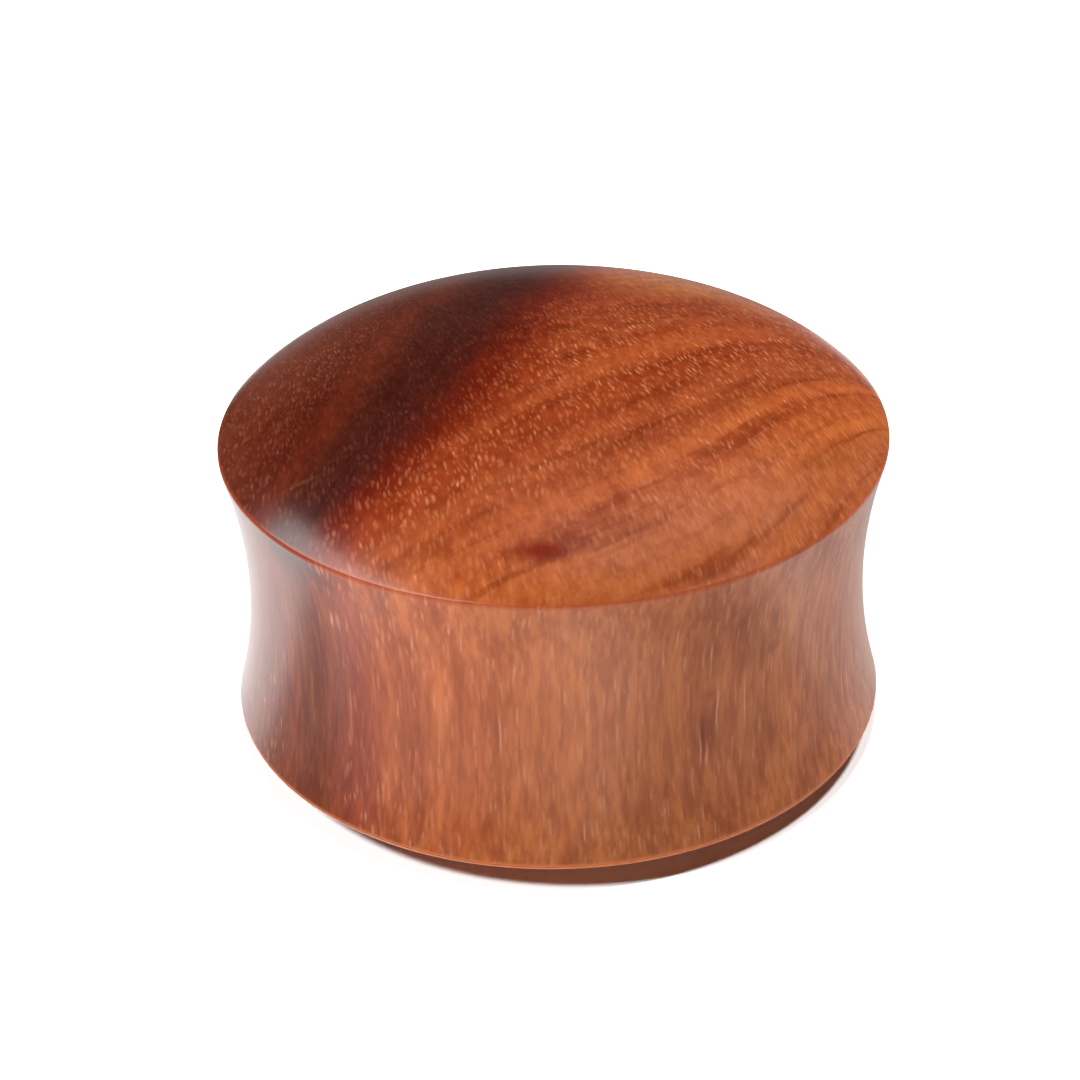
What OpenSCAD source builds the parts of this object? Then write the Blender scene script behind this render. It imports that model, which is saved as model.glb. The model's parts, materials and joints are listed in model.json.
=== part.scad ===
/* [Waist] */
// Gauge: diameter at the middle of the waist, where the ear lobe sits
gauge_d = 25.4; // [16:0.1:50]
// Wearable length: the height of the hollow waist between the two rims
wear_len = 11.75; // [7:0.05:20]

/* [Flares] */
// How far each flare stands out past the waist, measured at its rim
flare_out = 0.8; // [0.3:0.05:3]
// Height of the narrow upright edge that runs round each rim
rim_edge = 0.15; // [0.05:0.05:0.6]

/* [Face] */
// Height of the domed face above its rim
face_rise = 4.1; // [1:0.1:8]
// How far past the rim the dome's ellipse would end: less gives a squarer shoulder
face_reach = 1.1; // [0.3:0.1:4]

/* [Back] */
// Height of the back's rim above the flat seat that the plug stands on
back_rise = 1; // [0.3:0.1:4]
// How far past the rim the back's ellipse would end
back_reach = 1.1; // [0.3:0.1:4]
// Diameter of the flat seat in the middle of the back
seat_d = 12; // [3:0.5:15]

/* [Hidden] */
$fn = 180;

waist_r = gauge_d / 2;
flare_r = waist_r + flare_out;
seat_r = seat_d / 2;

// Heights above the seat, which lies at z = 0
back_rim_z = back_rise;
face_rim_z = back_rim_z + rim_edge + wear_len;
waist_z = (back_rim_z + face_rim_z + rim_edge) / 2;
plug_h = face_rim_z + rim_edge + face_rise;

// Radius of a hollow arc that is as deep as depth over the length len
function hollow_arc_r(depth, len) = (pow(len / 2, 2) + pow(depth, 2)) / (2 * depth);

// Height, at the radius r, of half an ellipse that is 1 high and ends at the radius end_r
function ellipse_height(r, end_r) = sqrt(1 - pow(r / end_r, 2));

// The waist is one hollow arc between the upright edges of the two rims
waist_arc_r = hollow_arc_r(flare_out, wear_len);

// The face's ellipse rises by face_rise from the rim to the axis
face_end_r = flare_r + face_reach;
face_half_h = face_rise / (1 - ellipse_height(flare_r, face_end_r));
face_centre_z = plug_h - face_half_h;

// The back's ellipse falls by back_rise from the rim to the edge of the seat
back_end_r = flare_r + back_reach;
back_half_h = back_rise / (ellipse_height(seat_r, back_end_r) - ellipse_height(flare_r, back_end_r));
back_centre_z = back_half_h * ellipse_height(seat_r, back_end_r);

// All that lies below the domed face
module under_face() {
    translate([0, face_centre_z]) scale([face_end_r, face_half_h]) circle(r = 1);
    square([face_end_r, face_centre_z]);
}

// All that lies above the back
module over_back() {
    translate([0, back_centre_z]) scale([back_end_r, back_half_h]) circle(r = 1);
    translate([0, back_centre_z]) square([back_end_r, plug_h]);
}

// Everything from the axis out to the rims, and from the seat up past the face
module rim_bounds() {
    square([flare_r, plug_h + face_rise]);
}

module waist_hollow() {
    translate([waist_r + waist_arc_r, waist_z]) circle(r = waist_arc_r);
}

// The plug is turned from one piece of wood, with its grain along the axis
module ear_plug() {
    color([0.63, 0.27, 0.12])
        rotate_extrude()
            difference() {
                intersection() {
                    rim_bounds();
                    under_face();
                    over_back();
                }
                waist_hollow();
            }
}

ear_plug();
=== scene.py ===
"""A turned wooden ear plug gauge: its fine mesh, its oiled wood, and a soft white light tent round it."""

import json
import math

import bpy
from mathutils import Matrix, Vector, noise


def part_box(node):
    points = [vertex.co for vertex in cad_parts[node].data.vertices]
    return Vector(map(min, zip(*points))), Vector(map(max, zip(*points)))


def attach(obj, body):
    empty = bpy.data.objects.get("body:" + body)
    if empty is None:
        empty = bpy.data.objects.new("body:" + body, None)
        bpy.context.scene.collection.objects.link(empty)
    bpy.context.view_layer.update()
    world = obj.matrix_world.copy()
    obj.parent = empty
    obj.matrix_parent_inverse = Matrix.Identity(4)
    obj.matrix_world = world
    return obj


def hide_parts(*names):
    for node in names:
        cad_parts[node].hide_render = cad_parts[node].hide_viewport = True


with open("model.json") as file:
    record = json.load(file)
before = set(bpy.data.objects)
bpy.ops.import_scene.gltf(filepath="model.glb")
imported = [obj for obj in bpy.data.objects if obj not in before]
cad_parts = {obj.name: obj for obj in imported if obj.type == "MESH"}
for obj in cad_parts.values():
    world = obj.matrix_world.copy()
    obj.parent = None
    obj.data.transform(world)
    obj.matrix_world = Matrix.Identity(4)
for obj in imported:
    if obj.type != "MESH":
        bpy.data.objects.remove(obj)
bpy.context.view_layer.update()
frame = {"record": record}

# Sizes of the plug, in metres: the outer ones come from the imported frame
MM = 0.001
mounts = {mount["name"]: mount for mount in frame["record"]["mounts"]}
EAR_SEAT = mounts["ear_seat"]
WAIST_Z = EAR_SEAT["pos_m"][2]
WAIST_R = EAR_SEAT["dims"]["r_mm"] * MM
WEAR_LEN = EAR_SEAT["dims"]["length_mm"] * MM
node_low, node_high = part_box("ear_plug")
FLARE_R = (node_high.x - node_low.x) / 2
PLUG_H = node_high.z
RIM_EDGE = 0.15 * MM
FACE_REACH = 1.1 * MM
BACK_REACH = 1.1 * MM
SEAT_R = 6.0 * MM
BACK_RIM_Z = WAIST_Z - WEAR_LEN / 2 - RIM_EDGE
FACE_RIM_Z = WAIST_Z + WEAR_LEN / 2 + RIM_EDGE

# Softening of the edges, and how many points the mesh has
RIM_ROUND = 0.2 * MM
SEAT_ROUND = 0.6 * MM
ROUND_STEPS = 5
RING_POINTS = 480
FACE_STEPS = 74
WAIST_STEPS = 60
BACK_STEPS = 34

# Low relief that hand sanding leaves: depth below the turned form, and the length of its swells
SANDING_DEPTH = 0.02 * MM
SANDING_LENGTH = 5.0 * MM

# The camera, from the photograph's outline of the two rims
IMAGE_PX = 1080
FOCAL_PX = 2644
CAMERA_DISTANCE = 8.13 * FLARE_R
CAMERA_ELEVATION = math.radians(31.8)
CAMERA_ROLL = math.radians(-1.21)
AIM_PX_X = 555.7
AIM_PX_Y = 551.5
SENSOR = 36.0


# Mesh of the plug

def ellipse_height(r, end_r):
    """Height of an ellipse of half-height 1 and half-width end_r, at radius r."""
    return math.sqrt(1 - (r / end_r) ** 2)


def face_points():
    """The domed face, from the axis to its rim."""
    end_r = FLARE_R + FACE_REACH
    half_h = (PLUG_H - FACE_RIM_Z) / (1 - ellipse_height(FLARE_R, end_r))
    centre_z = PLUG_H - half_h
    turn = math.asin(FLARE_R / end_r)
    points = []
    for i in range(FACE_STEPS + 1):
        t = turn * i / FACE_STEPS
        points.append((end_r * math.sin(t), centre_z + half_h * math.cos(t)))
    return points


def waist_points():
    """The hollow waist, from below the face's rim edge to above the back's."""
    depth = FLARE_R - WAIST_R
    arc_r = ((WEAR_LEN / 2) ** 2 + depth ** 2) / (2 * depth)
    turn = math.asin(WEAR_LEN / 2 / arc_r)
    points = []
    for i in range(WAIST_STEPS + 1):
        t = turn * (1 - 2 * i / WAIST_STEPS)
        points.append((WAIST_R + arc_r - arc_r * math.cos(t), WAIST_Z + arc_r * math.sin(t)))
    return points


def back_points():
    """The shallow back, from its rim down to the seat's edge."""
    end_r = FLARE_R + BACK_REACH
    seat_height = ellipse_height(SEAT_R, end_r)
    half_h = BACK_RIM_Z / (seat_height - ellipse_height(FLARE_R, end_r))
    start = math.asin(FLARE_R / end_r)
    stop = math.asin(SEAT_R / end_r)
    points = []
    for i in range(BACK_STEPS + 1):
        t = start + (stop - start) * i / BACK_STEPS
        points.append((end_r * math.sin(t), half_h * (seat_height - math.cos(t))))
    return points


def rounded_corner(before, corner, after, radius):
    """Points of an arc of the given radius that replaces a corner of the profile."""
    corner = Vector(corner)
    arrive = (corner - Vector(before)).normalized()
    leave = (Vector(after) - corner).normalized()
    turn = arrive.angle(leave)
    reach = radius * math.tan(turn / 2)
    start = corner - arrive * reach
    end = corner + leave * reach
    points = []
    for i in range(ROUND_STEPS + 1):
        t = i / ROUND_STEPS
        along = start.lerp(corner, t).lerp(corner.lerp(end, t), t)
        points.append(tuple(along))
    return points


def profile():
    """The whole turned profile as (r, z), from the middle of the face to the edge of the seat."""
    face = face_points()
    waist = waist_points()
    back = back_points()
    seat_inside = (SEAT_R / 2, 0.0)
    points = face[:-1]
    points += rounded_corner(face[-2], face[-1], waist[0], RIM_ROUND)
    points += rounded_corner(face[-1], waist[0], waist[1], RIM_ROUND)
    points += waist[1:-1]
    points += rounded_corner(waist[-2], waist[-1], back[0], RIM_ROUND)
    points += rounded_corner(waist[-1], back[0], back[1], RIM_ROUND)
    points += back[1:-1]
    points += rounded_corner(back[-2], back[-1], seat_inside, SEAT_ROUND)
    return points


def sanded(point):
    """The point, sunk towards the plug's middle by the low relief of hand sanding."""
    swell = noise.noise(point / SANDING_LENGTH)
    inward = Vector((-point.x, -point.y, WAIST_Z - point.z)).normalized()
    return point + inward * SANDING_DEPTH * (1 + swell) / 2


def plug_mesh():
    """The profile turned round the axis, closed by one point on the face and one on the seat."""
    rings = profile()[1:]
    verts = [Vector((0, 0, PLUG_H))]
    for r, z in rings:
        for i in range(RING_POINTS):
            angle = 2 * math.pi * i / RING_POINTS
            point = Vector((r * math.cos(angle), r * math.sin(angle), z))
            touches_floor = z < SANDING_DEPTH
            verts.append(point if touches_floor else sanded(point))
    verts.append(Vector((0, 0, 0)))
    last = len(verts) - 1
    faces = []
    for i in range(RING_POINTS):
        k = (i + 1) % RING_POINTS
        faces.append((0, 1 + i, 1 + k))
        for ring in range(len(rings) - 1):
            upper = 1 + ring * RING_POINTS
            lower = upper + RING_POINTS
            faces.append((upper + i, lower + i, lower + k, upper + k))
        seat_ring = last - RING_POINTS
        faces.append((last, seat_ring + k, seat_ring + i))
    mesh = bpy.data.meshes.new("plug")
    mesh.from_pydata(verts, [], faces)
    mesh.shade_smooth()
    return mesh


# Shader nodes

class Graph:
    """Adds nodes to one material. A value may be a number, a colour or another node's output."""

    def __init__(self, material):
        material.use_nodes = True
        self.nodes = material.node_tree.nodes
        self.links = material.node_tree.links

    def add(self, kind, **settings):
        """A new node with these settings."""
        node = self.nodes.new(kind)
        for name, value in settings.items():
            setattr(node, name, value)
        return node

    def feed(self, socket, value):
        """Links the value to the socket if another node makes it, and else sets it there."""
        if isinstance(value, bpy.types.NodeSocket):
            self.links.new(value, socket)
        else:
            socket.default_value = value

    def math(self, operation, a, b=0.0, c=0.0):
        """The result of a sum on one to three numbers."""
        node = self.add("ShaderNodeMath", operation=operation)
        for socket, value in zip(node.inputs, (a, b, c)):
            self.feed(socket, value)
        return node.outputs[0]

    def vector(self, operation, a, b=(0, 0, 0), c=(0, 0, 0)):
        """The result of a sum on one to three vectors: a number for a length, and else a vector."""
        node = self.add("ShaderNodeVectorMath", operation=operation)
        for socket, value in zip(node.inputs, (a, b, c)):
            self.feed(socket, value)
        return node.outputs["Value" if operation == "LENGTH" else "Vector"]

    def split(self, vector):
        """The three parts of a vector or a colour."""
        node = self.add("ShaderNodeSeparateXYZ")
        self.feed(node.inputs[0], vector)
        return node.outputs[0], node.outputs[1], node.outputs[2]

    def join(self, x, y, z):
        """A vector of these three parts."""
        node = self.add("ShaderNodeCombineXYZ")
        for socket, value in zip(node.inputs, (x, y, z)):
            self.feed(socket, value)
        return node.outputs[0]

    def noise(self, vector, detail, roughness=0.5, output="Fac"):
        """Soft noise at a place, mostly from 0.2 to 0.8 and 0.5 on the average."""
        node = self.add("ShaderNodeTexNoise")
        self.feed(node.inputs["Vector"], vector)
        self.feed(node.inputs["Scale"], 1.0)
        self.feed(node.inputs["Detail"], detail)
        self.feed(node.inputs["Roughness"], roughness)
        return node.outputs[output]

    def span(self, value, start, end, low=0.0, high=1.0, smooth=True):
        """Low at start and high at end, held level past either."""
        kind = "SMOOTHSTEP" if smooth else "LINEAR"
        node = self.add("ShaderNodeMapRange", interpolation_type=kind)
        for socket, number in zip(node.inputs, (value, start, end, low, high)):
            self.feed(socket, number)
        return node.outputs[0]

    def ramp(self, value, stops, start, end):
        """A run of colours along value, each stop a (place, colour) between start and end."""
        node = self.add("ShaderNodeValToRGB")
        node.color_ramp.interpolation = "LINEAR"
        self.feed(node.inputs[0], self.span(value, start, end, smooth=False))
        elements = node.color_ramp.elements
        while len(elements) < len(stops):
            elements.new(0.5)
        for element, (place, colour) in zip(elements, stops):
            element.position = (place - start) / (end - start)
            element.color = colour
        return node.outputs[0]

    def curve(self, value, points):
        """A smooth curve through (value, result) points, both between -1 and 1."""
        node = self.add("ShaderNodeFloatCurve")
        self.feed(node.inputs["Value"], self.span(value, -1, 1, smooth=False))
        line = node.mapping.curves[0]
        while len(line.points) < len(points):
            line.points.new(0.5, 0.5)
        for point, (x, y) in zip(line.points, points):
            point.location = ((x + 1) / 2, (y + 1) / 2)
        node.mapping.update()
        return self.span(node.outputs[0], 0, 1, -1, 1, smooth=False)

    def mix(self, factor, a, b, blend="MIX"):
        """Colour a, turned into b as far as the factor says. Sockets 6, 7 and 2 are the node's colours."""
        node = self.add("ShaderNodeMix", data_type="RGBA", blend_type=blend)
        self.feed(node.inputs[0], factor)
        self.feed(node.inputs[6], a)
        self.feed(node.inputs[7], b)
        return node.outputs[2]


# The wood, with lengths in flare radii: x to the right, y away from the camera, z up the grain
BAND_TILT = math.radians(34)
BAND_MIDDLE = -0.18
BAND_BEND = 0.13
BAND_BEND_OUTWARD = 0.67
PITH = (-1.16, 2.93)
STREAK_LEAN = 0.05
CROWN_Z = PLUG_H / FLARE_R

# How the grain wanders: its swells to a flare radius, how far it goes either way, and the noise at
# which it has gone that far. The noise for the other direction is taken this far off
WANDER_SWELLS = (1.6, 1.6, 1.1)
WANDER_REACH = 0.025
WANDER_ENDS = (0.2, 0.8)
WANDER_APART = (7.3, 2.1, 4.4)

# How far the fibres shift the edges of the bands and of the streak
FIBRE_ON_BANDS = 0.1
FIBRE_ON_STREAK = 0.14

# How the flecks and the pale lines sway: swells to a flare radius, and how far from side to side
FLECK_SWELLS = (12.0, 12.0, 6.0)
FLECK_SWAY = 0.028
LINE_SWELLS = (5.0, 5.0, 12.0)
LINE_SWAY = 0.007

# Strands and clusters of flecks follow the bands: how many to a flare radius, across and along them
STRANDS = (18.0, 1.8)
CLUSTERS = (6.0, 1.3)

# Sizes in mm of what the grain is made of: across the rays, along them and up the grain
FIBRE = (0.35, 0.9, 9.0)
MOTTLE = (0.9, 1.6, 7.0)
LONG_FLECK = (0.2, 0.7, 1.0)
SHORT_FLECK = (0.16, 0.42, 1.0)
END_PORE = (0.32, 0.7, 0.6)
BOLD_LINE = (0.2, 0.4, 5.5)
FINE_LINE = (0.15, 0.3, 1.5)
LINE_GROUP = (2.0, 2.0, 9.0)
SIDE_FIBRE = (0.2, 0.25, 2.2)
STRIPE = (0.8, 0.8, 4.5)

# Flecks and pale lines, at most one to a cell of the sizes above: the cores of the marks in cells, and
# where a mark is full and where it ends, in cores. A cell's lot, from 0 to 1, sets its mark's strength
FLECK_CORE = 0.25
BOLD_CORE = 0.19
FINE_CORE = 0.24
MARK_FULL = 0.4
MARK_END = 1.5
NO_MARK_LOT = 0.1
FULL_MARK_LOT = 0.73

# How strong they are, and how much of them is left in the streak's dark core
FLECK_STRENGTH = 0.4
SHORT_FLECK_STRENGTH = 0.7
FINE_STRENGTH = 0.3
FLECKS_IN_DARK = 0.3
LINES_IN_DARK = 0.2

# What darker and lighter places multiply the colour of the wood by
DARK_STRAND = (0.67, 0.52, 0.42)
LIGHT_STRAND = (1.12, 1.13, 1.0)
DARK_MOTTLE = (0.78, 0.69, 0.62)
LIGHT_MOTTLE = (1.2, 1.22, 1.1)
DARK_PORE = (0.78, 0.68, 0.6)
DARK_FIBRE = (0.76, 0.67, 0.63)
DARK_STRIPE = (0.84, 0.75, 0.7)
LIGHT_STRIPE = (1.08, 1.13, 1.13)
SIDE_GRAIN = (0.95, 1.04, 1.0)
PALE_MARK = (1.9, 3.6, 3.4)
DARK_MARK_AND_SHADE = (0.46, 0.12, 0.02)

# Fades, each a (start, end) from nothing to all, or a (start, end, result at start, result at end).
# First those over the noise that makes the grain
TO_DARK_STRAND = (0.5, 0.3)
TO_LIGHT_STRAND = (0.5, 0.72)
TO_DARK_MOTTLE = (0.48, 0.2)
TO_LIGHT_MOTTLE = (0.52, 0.8)
TO_PORE = (0.7, 0.3)
TO_SIDE_FIBRE = (0.65, 0.35)
TO_DARK_STRIPE = (0.5, 0.3)
TO_LIGHT_STRIPE = (0.5, 0.7)
TO_LINE_GROUP = (0.4, 0.6, 0.15, 0.45)
TO_FLECK_CLUSTER = (0.3, 0.55, 0.6, 1.1)

# Fades across the bands, outward to the front right
STRANDS_OUTWARD = (0.3, 0.6, 0.7, 1.0)
FLECKS_FROM_BACK = (-0.2, 0.05, 0.65, 1.0)
FLECKS_OUTWARD = (0.4, 0.6, 1.0, 0.6)

# Fades over the distance from the streak's sharp right edge, which is negative to its left
DARK_CORE_STARTS = (-0.5, -0.25)
DARK_CORE_ENDS = (0.16, 0.0)
STREAK_ENDS = (0.34, 0.1)
FLECKS_LEFT_OF_STREAK = (-0.5, -0.3, 0.85, 0.8)
FLECKS_RIGHT_OF_STREAK = (0.1, 0.4, 0.6, 1.2)

# Fades up the plug, and away from the middle of a rim line
STRANDS_UP_TO_FACE = (0.9, 1.0, 0.45, 1.0)
STREAK_DOWN_THE_SIDE = (0.95, 0.8, 1.0, 0.63)
RIM_LINE = (0.016, 0.006)

# Fades out from the middle of a single mark, in its own sizes, and from the side to the end grain, by how
# much the surface faces up or down
MARK_EDGE = (1.6, 0.2)
TO_END_GRAIN = (0.35, 0.6)

# Gloss of the oiled wood: a fleck is a little duller, and the rim of the back mirrors less
WOOD_ROUGHNESS = 0.24
FLECK_ROUGHNESS = 0.28
FULL_FLECK = 0.5
GLOSS = 0.38
GLOSS_LOST_AT_RIM = 0.4

# Relief of the pores and the fibres, their depth in units of this height
RELIEF_STRENGTH = 0.2
RELIEF_UNIT = 0.01 * MM
PORE_DEPTH = 0.5

# How much light falls on the wood on this stage, how much of what is seen is gloss, and the least that
# is left without the gloss
LIGHT_ON_WOOD = 1.5
GLOSS_ON_WOOD = 0.003
DARKEST = 0.001

# Where the dark streak's sharp right edge runs: (y, x) from the front to the back
STREAK_EDGE = (
    (-1.0, -1.0),
    (-0.7, -0.72),
    (-0.55, -0.54),
    (-0.38, -0.4),
    (-0.1, -0.25),
    (0.21, -0.15),
    (0.5, -0.03),
    (1.0, 0.02),
)


def linear(part):
    """A part of a screen colour, from 0 to 255, as an amount of light."""
    share = part / 255
    return share / 12.92 if share <= 0.04045 else ((share + 0.055) / 1.055) ** 2.4


def shade(red, green, blue):
    """The wood's own colour, given as it looks on a screen on this stage, from 0 to 255."""
    own = [max(linear(part) - GLOSS_ON_WOOD, DARKEST) / LIGHT_ON_WOOD for part in (red, green, blue)]
    return (*own, 1.0)


# Colours across the bands, from the back left to the front right
HEARTWOOD = (
    (-0.7, shade(146, 62, 36)),
    (-0.2, shade(148, 66, 39)),
    (-0.1, shade(158, 74, 43)),
    (0.03, shade(162, 75, 41)),
    (0.1, shade(166, 80, 46)),
    (0.16, shade(158, 70, 36)),
    (0.25, shade(176, 86, 48)),
    (0.35, shade(152, 64, 33)),
    (0.44, shade(160, 74, 41)),
    (0.5, shade(169, 84, 48)),
    (0.56, shade(160, 76, 42)),
    (0.65, shade(187, 97, 53)),
    (0.73, shade(171, 83, 43)),
    (0.8, shade(185, 97, 50)),
    (0.87, shade(182, 96, 50)),
    (0.95, shade(176, 96, 54)),
    (1.1, shade(172, 94, 57)),
)
HEARTWOOD_REACH = (-0.75, 1.15)

# Colours across the dark streak, from the rusty wood on its left to its crimson right edge
STREAK = (
    (-0.75, shade(122, 60, 43)),
    (-0.55, shade(112, 53, 37)),
    (-0.4, shade(98, 41, 29)),
    (-0.3, shade(106, 45, 30)),
    (-0.2, shade(80, 36, 28)),
    (-0.08, shade(73, 32, 29)),
    (0.0, shade(84, 34, 27)),
    (0.06, shade(103, 34, 23)),
    (0.14, shade(122, 42, 26)),
    (0.25, shade(138, 51, 28)),
    (0.36, shade(150, 62, 34)),
)
STREAK_REACH = (-0.8, 0.4)

# The pale filling of the wood's pores in the end grain and up the side
PALE_END = shade(226, 144, 94)
PALE_SIDE = shade(206, 138, 100)

# Painted lines along the two rims, where the edge turns: painted shade along the face's rim and a painted
# highlight along the back's, each with its colour and how much of it shows
FACE_RIM_SHADE = shade(174, 76, 39)
FACE_RIM_SHADE_STRENGTH = 0.5
BACK_RIM_HIGHLIGHT = shade(206, 118, 74)
BACK_RIM_HIGHLIGHT_STRENGTH = 0.7

# Marks in the wood, and two patches of painted shade among the dark ones: place, then how wide, deep and
# tall the mark is, and how strong
PALE_MARKS = {
    "pale_back_right": ((0.28, 0.56, 1.15), (0.28, 0.19, 0.4), 0.85),
    "pale_far_right": ((0.62, 0.44, 1.1), (0.2, 0.1, 0.3), 0.2),
    "scratch": ((-0.7, -0.498, 1.03), (0.05, 0.007, 0.3), 0.5),
}
DARK_MARKS_AND_SHADE = {
    "spot_on_face": ((-0.035, -0.875, 1.07), (0.08, 0.028, 0.3), 1.0),
    "spot_end": ((0.045, -0.845, 1.07), (0.065, 0.022, 0.3), 0.6),
    "tail_on_face": ((0.2, -0.8, 1.09), (0.14, 0.03, 0.3), 0.3),
    "patch_at_back_right": ((0.52, 0.3, 1.2), (0.16, 0.1, 0.3), 0.1),
    "smudge_on_side": ((0.41, -0.85, 0.43), (0.018, 0.06, 0.055), 0.5),
    "smudge_above": ((0.42, -0.85, 0.56), (0.02, 0.06, 0.02), 0.3),
    "line_on_side": ((0.28, -0.9, 0.7), (0.008, 0.06, 0.07), 0.35),
    "fleck_high_right": ((0.61, -0.72, 0.64), (0.02, 0.06, 0.02), 0.3),
    "line_far_right": ((0.72, -0.6, 0.45), (0.02, 0.02, 0.09), 0.3),
    # Painted shade on the left of the face
    "painted_shade_low_left": ((-0.8, -0.25, 1.1), (0.2, 0.25, 0.3), 0.35),
    # Painted shade low on the front right of the waist
    "painted_shade_low_right": ((0.6, -0.74, 0.25), (0.2, 0.15, 0.14), 0.15),
}


def wander(g, place):
    """How far the grain has wandered at a place, one way or the other."""
    swell = g.noise(place, detail=1.0)
    return g.span(swell, *WANDER_ENDS, -WANDER_REACH, WANDER_REACH, smooth=False)


def wood_places(g):
    """The point in flare radii, and the same point wandering slowly up the grain."""
    coordinates = g.add("ShaderNodeTexCoord").outputs["Object"]
    per_radius = 1 / FLARE_R
    point = g.vector("MULTIPLY", coordinates, (per_radius, per_radius, per_radius))
    slow = g.vector("MULTIPLY", point, WANDER_SWELLS)
    shift_x = wander(g, slow)
    shift_y = wander(g, g.vector("ADD", slow, WANDER_APART))
    return point, g.vector("ADD", point, g.join(shift_x, shift_y, 0.0))


def band_places(g, x, y):
    """Distance across the colour bands, which bend round towards the lower right, and along them."""
    cos_tilt = math.cos(BAND_TILT)
    sin_tilt = math.sin(BAND_TILT)
    along = g.math("MULTIPLY_ADD", x, cos_tilt, g.math("MULTIPLY", y, sin_tilt))
    across = g.math("MULTIPLY_ADD", y, -cos_tilt, g.math("MULTIPLY", x, sin_tilt))
    outward = g.math("MAXIMUM", across, 0.0)
    from_middle = g.math("POWER", g.math("SUBTRACT", along, BAND_MIDDLE), 2.0)
    bend = g.math("MULTIPLY_ADD", outward, BAND_BEND_OUTWARD, BAND_BEND)
    rise = g.math("MULTIPLY", g.math("MULTIPLY", bend, outward), from_middle)
    return g.math("ADD", across, rise), along


def ray_place(g, point, size):
    """The point counted in marks of this size in mm: across the rays, along them and up the grain."""
    width, length, height = size
    flare_mm = FLARE_R / MM
    x, y, z = g.split(point)
    from_pith_x = g.math("SUBTRACT", x, PITH[0])
    from_pith_y = g.math("SUBTRACT", PITH[1], y)
    distance = g.vector("LENGTH", g.join(from_pith_x, from_pith_y, 0.0))
    angle = g.math("ARCTAN2", from_pith_x, from_pith_y)
    around = g.math("MULTIPLY", angle, math.hypot(*PITH) * flare_mm / width)
    outward = g.math("MULTIPLY", distance, flare_mm / length)
    return g.join(around, outward, g.math("MULTIPLY", z, flare_mm / height))


def bent(g, point, swells, reach):
    """The point swayed by this reach from side to side, in this many swells to a flare radius."""
    sway = g.noise(g.vector("MULTIPLY", point, swells), detail=0.0, output="Color")
    sway = g.vector("SUBTRACT", sway, (0.5, 0.5, 0.5))
    return g.vector("MULTIPLY_ADD", sway, (reach, reach, 0.0), point)


def dashes(g, place, core, flat=False):
    """Marks, at most one to a cell, that fade out round their middles.

    Flat marks are spindles in the end grain; the others are straight lines up the grain."""
    cells = g.add("ShaderNodeTexVoronoi", voronoi_dimensions="2D" if flat else "3D")
    cells.distance = "EUCLIDEAN" if flat else "CHEBYCHEV"
    g.feed(cells.inputs["Vector"], place)
    g.feed(cells.inputs["Scale"], 1.0)
    lot = g.split(cells.outputs["Color"])[0]
    strength = g.span(lot, NO_MARK_LOT, FULL_MARK_LOT, smooth=False)
    shape = g.span(cells.outputs["Distance"], core * MARK_END, core * MARK_FULL)
    return g.math("MULTIPLY", shape, strength)


def tint(g, colour, factor, amount):
    """The colour times the amount, as far as the factor says."""
    return g.mix(factor, colour, g.mix(1.0, colour, (*amount, 1.0), "MULTIPLY"))


def patch_amount(g, place, marks):
    """How much of these marks each point has, from 0 to 1; two of the dark ones are patches of painted
    shade.
    """
    total = None
    for centre, size, strength in marks.values():
        away = g.vector("DIVIDE", g.vector("SUBTRACT", place, centre), size)
        mark = g.math("MULTIPLY", g.span(g.vector("LENGTH", away), *MARK_EDGE), strength)
        total = mark if total is None else g.math("MAXIMUM", total, mark)
    return total


def along_bands(g, band, along, z, counts, detail):
    """Noise drawn out along the bands, with these counts to a flare radius across and along them."""
    across_count, along_count = counts
    place = g.join(g.math("MULTIPLY", band, across_count), g.math("MULTIPLY", along, along_count), z)
    return g.noise(place, detail=detail)


def heartwood_colour(g, band, strands, z):
    """The colour bands with their darker and lighter strands."""
    colour = g.ramp(band, HEARTWOOD, *HEARTWOOD_REACH)
    shown = g.math("MULTIPLY", g.span(band, *STRANDS_OUTWARD), g.span(z, *STRANDS_UP_TO_FACE))
    colour = tint(g, colour, g.math("MULTIPLY", g.span(strands, *TO_DARK_STRAND), shown), DARK_STRAND)
    return tint(g, colour, g.span(strands, *TO_LIGHT_STRAND), LIGHT_STRAND)


def fleck_density(g, cluster, band, from_edge):
    """How strong the flecks of the end grain are: most in the middle bands, less by the streak."""
    dull = g.math("MULTIPLY", g.span(band, *FLECKS_FROM_BACK), g.span(band, *FLECKS_OUTWARD))
    density = g.math("MULTIPLY", g.span(cluster, *TO_FLECK_CLUSTER), dull)
    density = g.math("MULTIPLY", density, g.span(from_edge, *FLECKS_LEFT_OF_STREAK))
    return g.math("MULTIPLY", density, g.span(from_edge, *FLECKS_RIGHT_OF_STREAK))


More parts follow.
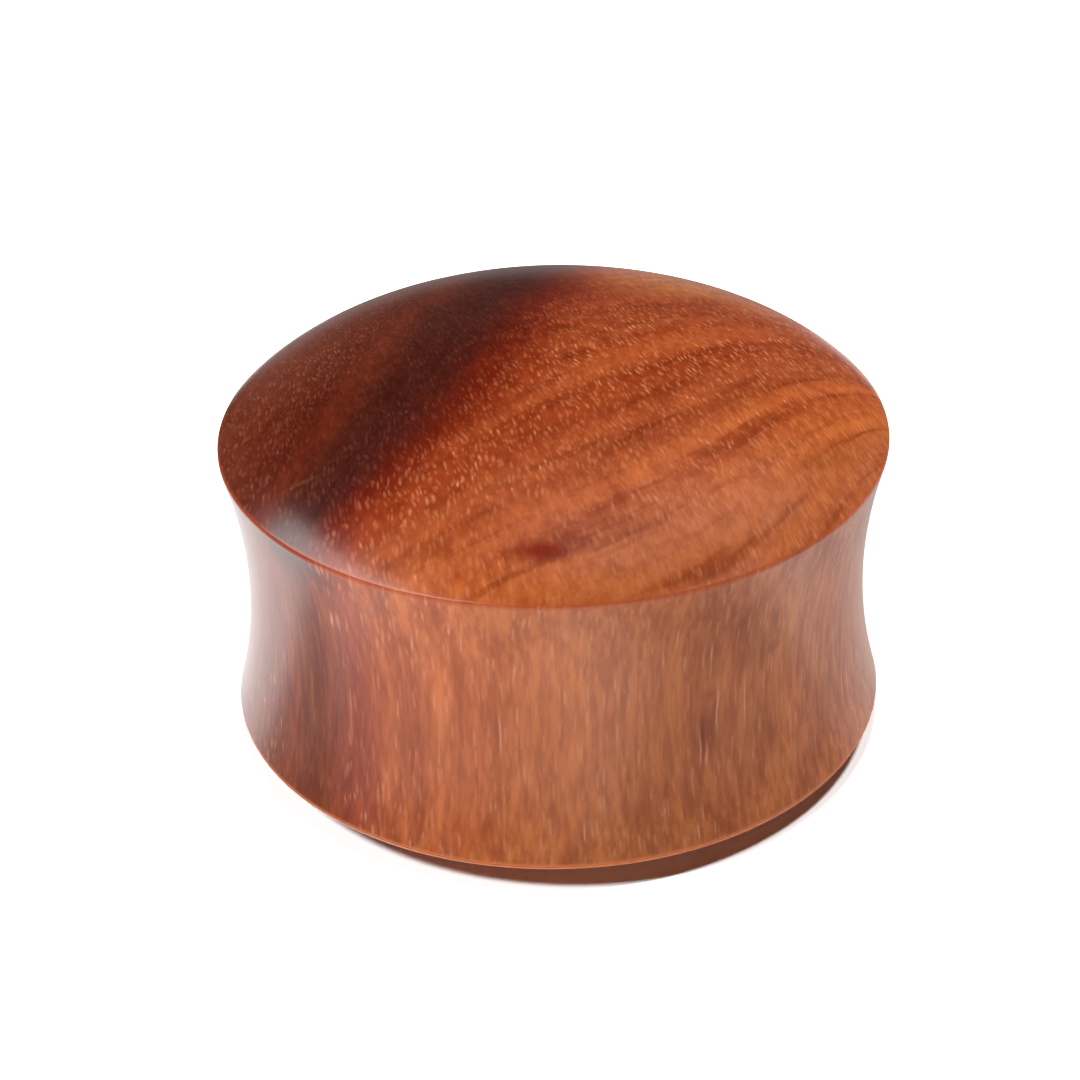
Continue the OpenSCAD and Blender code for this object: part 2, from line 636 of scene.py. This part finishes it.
def wood_colour(g, point, place):
    """The heartwood bands with the dark streak across them.

    Also gives how much of the streak's dark core each point has, and how strong the flecks are."""
    x, y, z = g.split(place)
    fibre = g.noise(ray_place(g, point, FIBRE), detail=4.0, roughness=0.6)
    fibre = g.math("SUBTRACT", fibre, 0.5)
    band, along = band_places(g, x, y)
    strands = along_bands(g, band, along, z, STRANDS, detail=3.0)
    cluster = along_bands(g, band, along, z, CLUSTERS, detail=1.0)
    band = g.math("MULTIPLY_ADD", fibre, FIBRE_ON_BANDS, band)
    heartwood = heartwood_colour(g, band, strands, z)

    lean = g.math("MULTIPLY_ADD", z, STREAK_LEAN, -STREAK_LEAN * CROWN_Z)
    edge = g.math("SUBTRACT", g.curve(y, STREAK_EDGE), lean)
    from_edge = g.math("MULTIPLY_ADD", fibre, FIBRE_ON_STREAK, g.math("SUBTRACT", x, edge))
    streak = g.ramp(from_edge, STREAK, *STREAK_REACH)
    shown = g.math("MULTIPLY", g.span(from_edge, *STREAK_ENDS), g.span(z, *STREAK_DOWN_THE_SIDE))
    in_dark = g.math("MULTIPLY", g.span(from_edge, *DARK_CORE_STARTS), g.span(from_edge, *DARK_CORE_ENDS))
    return g.mix(shown, heartwood, streak), in_dark, fleck_density(g, cluster, band, from_edge)


def end_marks(g, point, in_dark, density):
    """Pale flecks and dark pores of the end grain."""
    swayed = bent(g, point, FLECK_SWELLS, FLECK_SWAY)
    long_ones = dashes(g, ray_place(g, swayed, LONG_FLECK), FLECK_CORE, flat=True)
    short_ones = dashes(g, ray_place(g, swayed, SHORT_FLECK), FLECK_CORE, flat=True)
    flecks = g.math("MULTIPLY_ADD", short_ones, SHORT_FLECK_STRENGTH, long_ones)
    flecks = g.math("MULTIPLY", g.math("MULTIPLY", flecks, FLECK_STRENGTH), density)
    flecks = g.math("MULTIPLY", flecks, g.span(in_dark, 0.0, 1.0, 1.0, FLECKS_IN_DARK))
    pores = g.noise(ray_place(g, point, END_PORE), detail=3.0, roughness=0.65)
    return flecks, g.span(pores, *TO_PORE)


def side_marks(g, point, in_dark):
    """Pale lines and dark fibres where the grain runs up the side."""
    group = g.noise(ray_place(g, point, LINE_GROUP), detail=1.0)
    swayed = bent(g, point, LINE_SWELLS, LINE_SWAY)
    bold = dashes(g, ray_place(g, swayed, BOLD_LINE), BOLD_CORE)
    fine = dashes(g, ray_place(g, swayed, FINE_LINE), FINE_CORE)
    lines = g.math("MULTIPLY", bold, g.span(group, *TO_LINE_GROUP))
    lines = g.math("MULTIPLY_ADD", fine, FINE_STRENGTH, lines)
    lines = g.math("MULTIPLY", lines, g.span(in_dark, 0.0, 1.0, 1.0, LINES_IN_DARK))
    fibres = g.noise(ray_place(g, point, SIDE_FIBRE), detail=4.0, roughness=0.6)
    return lines, g.span(fibres, *TO_SIDE_FIBRE)


def mottled(g, point, colour):
    """The colour with lighter and darker patches."""
    mottle = g.noise(ray_place(g, point, MOTTLE), detail=3.0, roughness=0.6)
    colour = tint(g, colour, g.span(mottle, *TO_LIGHT_MOTTLE), LIGHT_MOTTLE)
    return tint(g, colour, g.span(mottle, *TO_DARK_MOTTLE), DARK_MOTTLE)


def striped(g, point, colour, on_side):
    """The colour with the softer stripes of the side."""
    stripes = g.noise(ray_place(g, point, STRIPE), detail=3.0)
    dark = g.math("MULTIPLY", g.span(stripes, *TO_DARK_STRIPE), on_side)
    light = g.math("MULTIPLY", g.span(stripes, *TO_LIGHT_STRIPE), on_side)
    colour = tint(g, colour, dark, DARK_STRIPE)
    colour = tint(g, colour, light, LIGHT_STRIPE)
    return tint(g, colour, on_side, SIDE_GRAIN)


def painted_rim_line(g, point, rim_z, strength):
    """How much of the line painted along a rim each point has: painted shade on the face's rim, a painted
    highlight on the back's.
    """
    away = g.math("ABSOLUTE", g.math("SUBTRACT", g.split(point)[2], rim_z / FLARE_R))
    return g.math("MULTIPLY", g.span(away, *RIM_LINE), strength)


def add_relief(g, shader, sunken):
    """Sinks the pores and the fibres into the surface."""
    bump = g.add("ShaderNodeBump")
    g.feed(bump.inputs["Strength"], RELIEF_STRENGTH)
    g.feed(bump.inputs["Distance"], RELIEF_UNIT)
    g.feed(bump.inputs["Height"], g.math("MULTIPLY", sunken, -PORE_DEPTH))
    g.feed(shader.inputs["Normal"], bump.outputs[0])


def wood_material():
    """The oiled heartwood: its colour, its gloss and its fine relief."""
    material = bpy.data.materials.new("oiled_wood")
    g = Graph(material)
    shader = g.nodes["Principled BSDF"]
    point, place = wood_places(g)
    colour, in_dark, density = wood_colour(g, point, place)
    colour = mottled(g, point, colour)
    colour = tint(g, colour, patch_amount(g, point, PALE_MARKS), PALE_MARK)

    up = g.split(g.add("ShaderNodeTexCoord").outputs["Normal"])[2]
    on_end = g.span(g.math("ABSOLUTE", up), *TO_END_GRAIN)
    on_side = g.math("SUBTRACT", 1.0, on_end)
    flecks, pores = end_marks(g, point, in_dark, density)
    lines, fibres = side_marks(g, point, in_dark)
    flecks = g.math("MULTIPLY", flecks, on_end)
    lines = g.math("MULTIPLY", lines, on_side)
    pores = g.math("MULTIPLY", pores, on_end)
    fibres = g.math("MULTIPLY", fibres, on_side)

    colour = tint(g, colour, pores, DARK_PORE)
    colour = tint(g, colour, fibres, DARK_FIBRE)
    colour = striped(g, point, colour, on_side)
    colour = g.mix(flecks, colour, PALE_END)
    colour = g.mix(lines, colour, PALE_SIDE)
    # Dark marks in the wood, and two patches of painted shade
    colour = tint(g, colour, patch_amount(g, point, DARK_MARKS_AND_SHADE), DARK_MARK_AND_SHADE)
    # Painted shade along the face's rim and a painted highlight along the back's rim
    face_rim_shade = painted_rim_line(g, point, FACE_RIM_Z - RIM_EDGE / 2, FACE_RIM_SHADE_STRENGTH)
    back_rim_highlight = painted_rim_line(g, point, BACK_RIM_Z + RIM_EDGE / 2, BACK_RIM_HIGHLIGHT_STRENGTH)
    colour = g.mix(face_rim_shade, colour, FACE_RIM_SHADE)
    colour = g.mix(back_rim_highlight, colour, BACK_RIM_HIGHLIGHT)
    g.feed(shader.inputs["Base Color"], colour)

    marked = g.math("ADD", flecks, lines)
    roughness = g.span(marked, 0.0, FULL_FLECK, WOOD_ROUGHNESS, FLECK_ROUGHNESS)
    gloss = g.math("MULTIPLY_ADD", back_rim_highlight, -GLOSS_LOST_AT_RIM, GLOSS)
    g.feed(shader.inputs["Roughness"], roughness)
    g.feed(shader.inputs["Specular IOR Level"], gloss)
    add_relief(g, shader, g.math("ADD", pores, fibres))
    return material


# The stage

FLOOR_SIZE = 8.0
FLOOR_COLOUR = (0.93, 0.93, 0.93, 1)
FLOOR_ROUGHNESS = 0.9

# Softboxes that light the plug or the table, and aren't mirrored in the gloss: azimuth (0 the camera's
# side, 90 the right), elevation and width in degrees, and how much light each throws on what faces it
SOFTBOXES = {
    "table_top": ("table", -160, 89.3, 2.9, 0.6),
    "table_left": ("table", -76, 47, 11.4, 1.4),
    "table_right": ("table", 103, 70, 7.6, 0.9),
    "overhead": ("plug", 115, 55, 28, 0.95),
    "key": ("plug", 70, 80, 28, 0.8),
    "side_left": ("plug", -70, 36, 33, 0.4),
    "fill_left": ("plug", -90, 5, 28, 0.36),
    "fill_front": ("plug", -54, 0, 28, 0.76),
    "fill_right": ("plug", 122, 0, 28, 0.55),
}

# What the plug's gloss mirrors: azimuth, elevation, width and height in degrees, and brightness. The
# bright table is given here as panels below the horizon, so that its far end can be as dim as the
# photograph's
PANELS = {
    "window_left": (-68, 31, 70, 26, 6.8),
    "window_right": (60, 38, 32, 18, 1.2),
    "table_back_left": (-147, -46, 50, 54, 1.7),
    "table_left": (-104, -46, 36, 54, 0.6),
    "table_front": (-32, -46, 92, 54, 1.1),
    "table_right": (56, -46, 84, 54, 0.5),
    "table_back_right": (138, -40, 60, 54, 0.75),
    "table_back": (180, -14, 40, 24, 0.3),
    "far_wall": (180, 12, 60, 30, 0.05),
}

# The lamps of the table hang far off, so that it is evenly bright to the horizon
LAMP_DISTANCE = {"plug": 0.6, "table": 12.0}


def make_floor():
    """A white table, which the gloss doesn't mirror, and which lets through the light of the panels."""
    half = FLOOR_SIZE / 2
    mesh = bpy.data.meshes.new("floor")
    corners = [(-half, -half, 0), (half, -half, 0), (half, half, 0), (-half, half, 0)]
    mesh.from_pydata(corners, [], [(0, 1, 2, 3)])
    floor = bpy.data.objects.new("floor", mesh)
    bpy.context.scene.collection.objects.link(floor)
    material = bpy.data.materials.new("white_table")
    material.use_nodes = True
    shader = material.node_tree.nodes["Principled BSDF"]
    shader.inputs["Base Color"].default_value = FLOOR_COLOUR
    shader.inputs["Roughness"].default_value = FLOOR_ROUGHNESS
    shader.inputs["Specular IOR Level"].default_value = 0.0
    mesh.materials.append(material)
    floor.visible_glossy = False
    floor.visible_shadow = False
    return floor


def direction(azimuth, elevation):
    """From the plug towards this azimuth and elevation in degrees, one long."""
    azimuth = math.radians(azimuth)
    elevation = math.radians(elevation)
    level = math.cos(elevation)
    return Vector((math.sin(azimuth) * level, -math.cos(azimuth) * level, math.sin(elevation)))


def place_lamp(name, azimuth, elevation, distance, width, height):
    """A flat lamp of this width and height in degrees that faces the plug, hidden from the camera."""
    light = bpy.data.lights.new(name, "AREA")
    light.shape = "RECTANGLE"
    light.size = 2 * distance * math.tan(math.radians(width / 2))
    light.size_y = 2 * distance * math.tan(math.radians(height / 2))
    lamp = bpy.data.objects.new(name, light)
    bpy.context.scene.collection.objects.link(lamp)
    towards = direction(azimuth, elevation)
    lamp.location = towards * distance
    lamp.rotation_euler = towards.to_track_quat("Z", "Y").to_euler()
    lamp.visible_camera = False
    return lamp


def make_softboxes(lit):
    """The lamps whose light is scattered by the plug or the table, at a power that gives their level."""
    for name, (lights, azimuth, elevation, width, level) in SOFTBOXES.items():
        distance = LAMP_DISTANCE[lights]
        lamp = place_lamp("softbox_" + name, azimuth, elevation, distance, width, width)
        lamp.data.energy = level * (math.pi * distance) ** 2
        lamp.visible_glossy = False
        lamp.light_linking.receiver_collection = lit[lights]


def make_panels(lit):
    """The lamps that only show as gloss on the plug, at a power that gives their brightness."""
    for name, (azimuth, elevation, width, height, brightness) in PANELS.items():
        lamp = place_lamp("panel_" + name, azimuth, elevation, LAMP_DISTANCE["plug"], width, height)
        lamp.data.energy = brightness * math.pi * lamp.data.size * lamp.data.size_y
        lamp.visible_diffuse = False
        lamp.light_linking.receiver_collection = lit["plug"]


def make_lights(plug, floor):
    """The softboxes, the panels and a white tent behind them that only the camera sees."""
    lit = {"plug": bpy.data.collections.new("plug_only"), "table": bpy.data.collections.new("table_only")}
    lit["plug"].objects.link(plug)
    lit["table"].objects.link(floor)
    make_softboxes(lit)
    make_panels(lit)
    world = bpy.data.worlds.new("white_tent")
    world.use_nodes = True
    world.node_tree.nodes["Background"].inputs["Color"].default_value = (1, 1, 1, 1)
    world.cycles_visibility.diffuse = False
    world.cycles_visibility.glossy = False
    world.cycles.sampling_method = "NONE"
    bpy.context.scene.world = world


def make_camera():
    """The photograph's camera, at the fitted distance and angle."""
    camera = bpy.data.cameras.new("camera")
    camera.sensor_width = SENSOR
    camera.lens = FOCAL_PX * SENSOR / IMAGE_PX
    camera.shift_x = (IMAGE_PX / 2 - AIM_PX_X) / IMAGE_PX
    camera.shift_y = (AIM_PX_Y - IMAGE_PX / 2) / IMAGE_PX
    camera.clip_start = MM
    back = Vector((0, -math.cos(CAMERA_ELEVATION), math.sin(CAMERA_ELEVATION)))
    place = Vector((0, 0, WAIST_Z)) + back * CAMERA_DISTANCE
    turn = (-back).to_track_quat("-Z", "Y").to_matrix().to_4x4()
    holder = bpy.data.objects.new("camera", camera)
    bpy.context.scene.collection.objects.link(holder)
    holder.matrix_world = Matrix.Translation(place) @ turn @ Matrix.Rotation(CAMERA_ROLL, 4, "Z")
    bpy.context.scene.camera = holder


# The scene

make_camera()
floor = make_floor()
bpy.context.scene.view_settings.view_transform = "Standard"

plug = bpy.data.objects.new("plug", plug_mesh())
bpy.context.scene.collection.objects.link(plug)
plug.data.materials.append(wood_material())
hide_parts("ear_plug")
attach(plug, "root")
make_lights(plug, floor)
